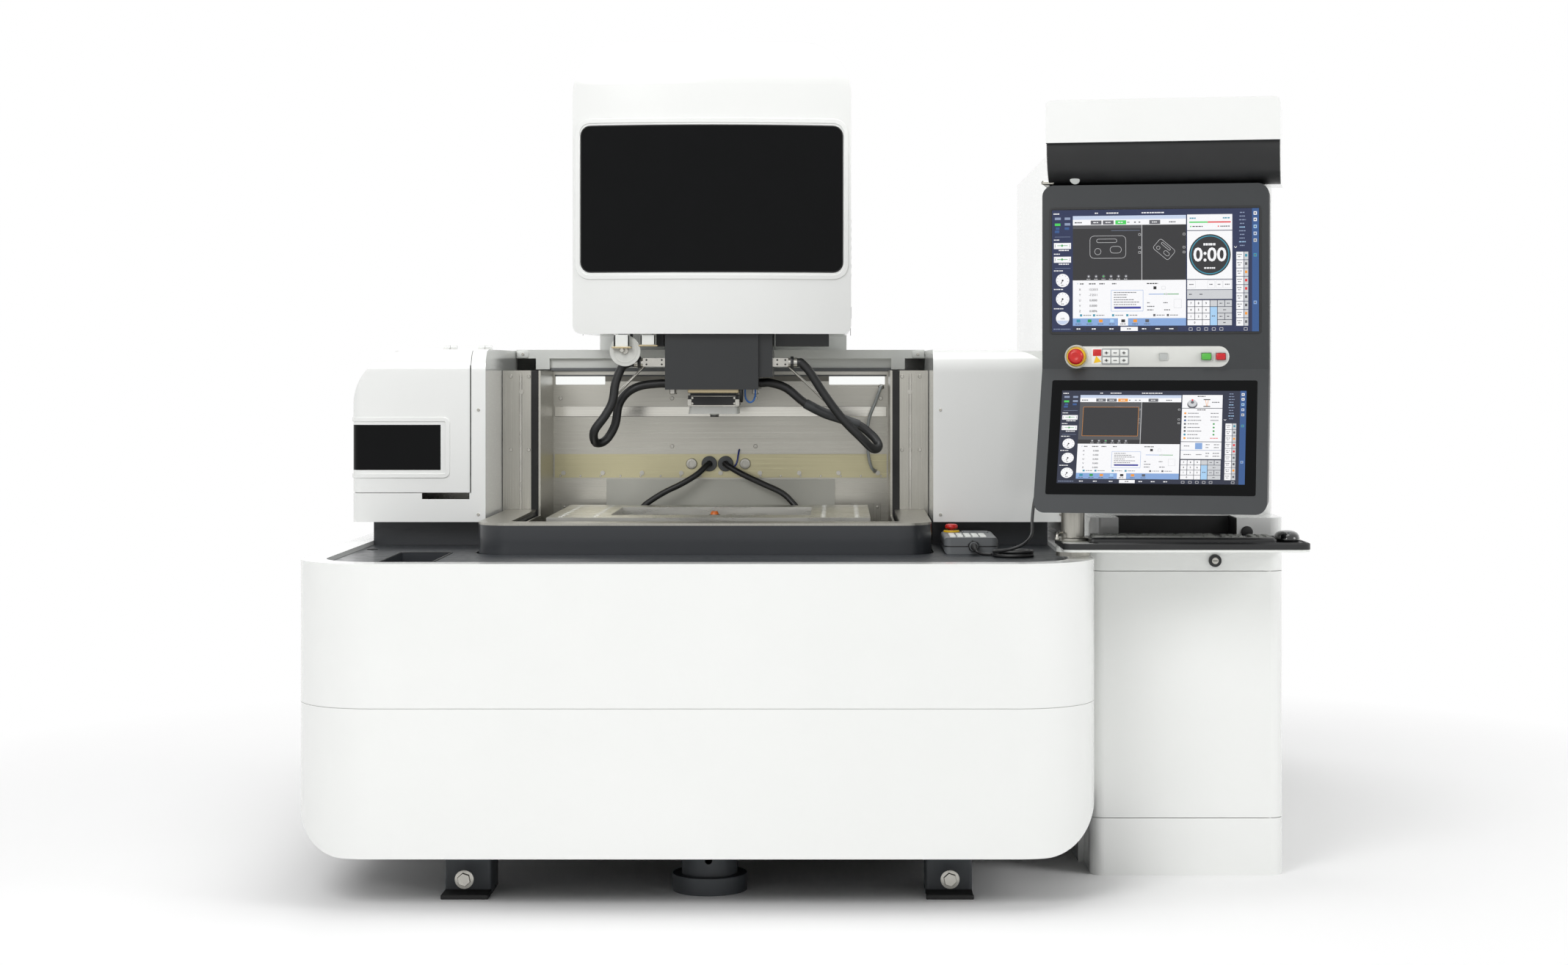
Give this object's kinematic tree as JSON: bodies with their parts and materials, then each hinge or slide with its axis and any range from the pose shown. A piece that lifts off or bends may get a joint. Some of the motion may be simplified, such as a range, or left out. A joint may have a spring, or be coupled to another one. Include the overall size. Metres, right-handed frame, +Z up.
{
  "type": "wire edm machine",
  "caption": "Wire-cut spark erosion machine: fixed table in a lifting-door tank, travelling head, swivel console with keyboard tray, low and tall cabinets.",
  "frame": {"origin": "middle of the footprint, on the floor", "axes": "+X to the operator's right, +Y from the operator to the back, +Z up"},
  "size_m": [2.469, 2.9, 2.19],
  "materials": {
    "bed_casting": "painted casting",
    "floor_mounts": "satin",
    "skirt_upper": "gloss",
    "skirt_lower": "gloss",
    "deck_panel": "fine texture",
    "tank_tub": "brushed",
    "tank_back_wall": "brushed",
    "clamp_band": "brushed bronze",
    "tank_screws": "machined",
    "side_flanges": "brushed",
    "door_seals": "matte",
    "table_supports": "machined",
    "work_table": "ground",
    "earth_cables": "matte",
    "left_wing_shell": "gloss",
    "right_wing_shell": "gloss",
    "spool_bracket": "milled",
    "cross_beam": "satin",
    "rear_housing": "satin",
    "column": "painted casting",
    "guide_rails": "ground",
    "dielectric_reservoir": "satin",
    "filter_canisters": "satin",
    "tall_cabinet": "gloss",
    "control_cabinet": "gloss",
    "console_pillar": "polished",
    "cord_gland": "matte",
    "pendant_cord": "satin",
    "cord_coil": "satin",
    "pendant_body": "fine texture",
    "tank_door": "satin",
    "door_rim": "brushed",
    "x_carriage": "painted casting",
    "y_ram": "painted casting",
    "head_cover": "gloss",
    "head_window": "smoked",
    "ram_side_units": "satin",
    "z_ram": "satin",
    "cable_brackets": "painted",
    "feeder_cables": "matte",
    "wire_roller": "gloss",
    "u_slide": "machined",
    "guide_block": "satin",
    "wing_cover": "gloss",
    "wing_window": "smoked",
    "wire_spool": "wound wire",
    "lower_carriage": "painted casting",
    "seal_plate": "brushed",
    "lower_arm": "ground",
    "console_housing": "satin",
    "console_screens": "gloss",
    "console_hood": "gloss",
    "console_estop": "gloss",
    "green_button": "gloss",
    "red_button": "gloss",
    "keyboard_tray": "satin",
    "keyboard_set": "matte",
    "pendant_estop": "gloss",
    "cabinet_door": "gloss",
    "cam_lock": "satin"
  },
  "bodies": {
    "machine": {"bed_casting": "bed_casting", "floor_mounts": "floor_mounts", "skirt_upper": "skirt_upper", "skirt_lower": "skirt_lower", "deck_panel": "deck_panel", "tank_tub": "tank_tub", "tank_back_wall": "tank_back_wall", "clamp_band": "clamp_band", "tank_screws": "tank_screws", "side_flanges": "side_flanges", "door_seals": "door_seals", "table_supports": "table_supports", "work_table": "work_table", "earth_cables": "earth_cables", "left_wing_shell": "left_wing_shell", "right_wing_shell": "right_wing_shell", "spool_bracket": "spool_bracket", "cross_beam": "cross_beam", "rear_housing": "rear_housing", "column": "column", "guide_rails": "guide_rails", "dielectric_reservoir": "dielectric_reservoir", "filter_canisters": "filter_canisters", "tall_cabinet": "tall_cabinet", "control_cabinet": "control_cabinet", "console_pillar": "console_pillar", "cord_gland": "cord_gland", "pendant_cord": "pendant_cord", "cord_coil": "cord_coil", "pendant_body": "pendant_body"},
    "door": {"tank_door": "tank_door", "door_rim": "door_rim"},
    "x_stage": {"x_carriage": "x_carriage"},
    "y_stage": {"y_ram": "y_ram", "head_cover": "head_cover", "head_window": "head_window", "ram_side_units": "ram_side_units"},
    "z_stage": {"z_ram": "z_ram", "cable_brackets": "cable_brackets", "feeder_cables": "feeder_cables"},
    "roller": {"wire_roller": "wire_roller"},
    "u_stage": {"u_slide": "u_slide"},
    "v_stage": {"guide_block": "guide_block"},
    "wing_lid": {"wing_cover": "wing_cover", "wing_window": "wing_window"},
    "spool": {"wire_spool": "wire_spool"},
    "low_x_stage": {"lower_carriage": "lower_carriage", "seal_plate": "seal_plate"},
    "low_y_stage": {"lower_arm": "lower_arm"},
    "console": {"console_housing": "console_housing", "console_screens": "console_screens", "console_hood": "console_hood"},
    "stop_button": {"console_estop": "console_estop"},
    "start_button": {"green_button": "green_button"},
    "off_button": {"red_button": "red_button"},
    "tray": {"keyboard_tray": "keyboard_tray", "keyboard_set": "keyboard_set"},
    "pendant_stop": {"pendant_estop": "pendant_estop"},
    "low_door": {"cabinet_door": "cabinet_door"},
    "door_lock": {"cam_lock": "cam_lock"}
  },
  "joints": [
    {"name": "door_lift", "type": "slide", "parent": "machine", "child": "door", "axis": [0, 0, 1], "range_m": [0, 0.39]},
    {"name": "x_travel", "type": "slide", "parent": "machine", "child": "x_stage", "axis": [1, 0, 0], "range_m": [-0.15, 0.15], "deforming": ["feeder_cables"]},
    {"name": "y_travel", "type": "slide", "parent": "x_stage", "child": "y_stage", "axis": [0, 1, 0], "range_m": [-0.125, 0.125]},
    {"name": "z_travel", "type": "slide", "parent": "y_stage", "child": "z_stage", "axis": [0, 0, 1], "range_m": [-0.16, 0.06]},
    {"name": "u_travel", "type": "slide", "parent": "z_stage", "child": "u_stage", "axis": [1, 0, 0], "range_m": [-0.04, 0.04]},
    {"name": "v_travel", "type": "slide", "parent": "u_stage", "child": "v_stage", "axis": [0, 1, 0], "range_m": [-0.04, 0.04]},
    {"name": "roller_spin", "type": "hinge", "parent": "y_stage", "child": "roller", "pos_m": [-0.4985, -0.558, 1.339], "axis": [0, 1, 0], "continuous": true},
    {"name": "spool_spin", "type": "hinge", "parent": "machine", "child": "spool", "pos_m": [-1.0625, -0.493, 1.12], "axis": [0, 1, 0], "continuous": true},
    {"name": "wing_lid_lift", "type": "hinge", "parent": "machine", "child": "wing_lid", "pos_m": [-1.0625, -0.15, 1.351], "axis": [-1, 0, 0], "range_deg": [0, 70]},
    {"name": "low_x_travel", "type": "slide", "parent": "machine", "child": "low_x_stage", "axis": [1, 0, 0], "range_m": [-0.15, 0.15]},
    {"name": "low_y_travel", "type": "slide", "parent": "low_x_stage", "child": "low_y_stage", "axis": [0, 1, 0], "range_m": [-0.125, 0.125]},
    {"name": "console_swivel", "type": "hinge", "parent": "machine", "child": "console", "pos_m": [0.6655, -1.17, 0.95], "axis": [0, 0, -1], "range_deg": [0, 70]},
    {"name": "stop_press", "type": "slide", "parent": "console", "child": "stop_button", "axis": [0.1908, 0.9816, 0], "range_m": [0, 0.005]},
    {"name": "start_press", "type": "slide", "parent": "console", "child": "start_button", "axis": [0.1908, 0.9816, 0], "range_m": [0, 0.003], "stiffness_N_per_m": 500},
    {"name": "off_press", "type": "slide", "parent": "console", "child": "off_button", "axis": [0.1908, 0.9816, 0], "range_m": [0, 0.003], "stiffness_N_per_m": 500},
    {"name": "tray_swivel", "type": "hinge", "parent": "machine", "child": "tray", "pos_m": [0.6655, -1.17, 0.85], "axis": [0, 0, -1], "range_deg": [0, 70]},
    {"name": "pendant_stop_press", "type": "slide", "parent": "machine", "child": "pendant_stop", "axis": [0, 0, -1], "range_m": [0, 0.005]},
    {"name": "low_door_swing", "type": "hinge", "parent": "machine", "child": "low_door", "pos_m": [1.2165, -0.986, 0.46], "axis": [0, 0, 1], "range_deg": [0, 100]},
    {"name": "lock_turn", "type": "hinge", "parent": "machine", "child": "door_lock", "pos_m": [1.0405, -1.01, 0.802], "axis": [0, 1, 0], "range_deg": [0, 90]}
  ],
  "couplings": [
    {"joint": "low_x_travel", "follows": "x_travel", "ratio": 1},
    {"joint": "low_y_travel", "follows": "y_travel", "ratio": 1}
  ]
}
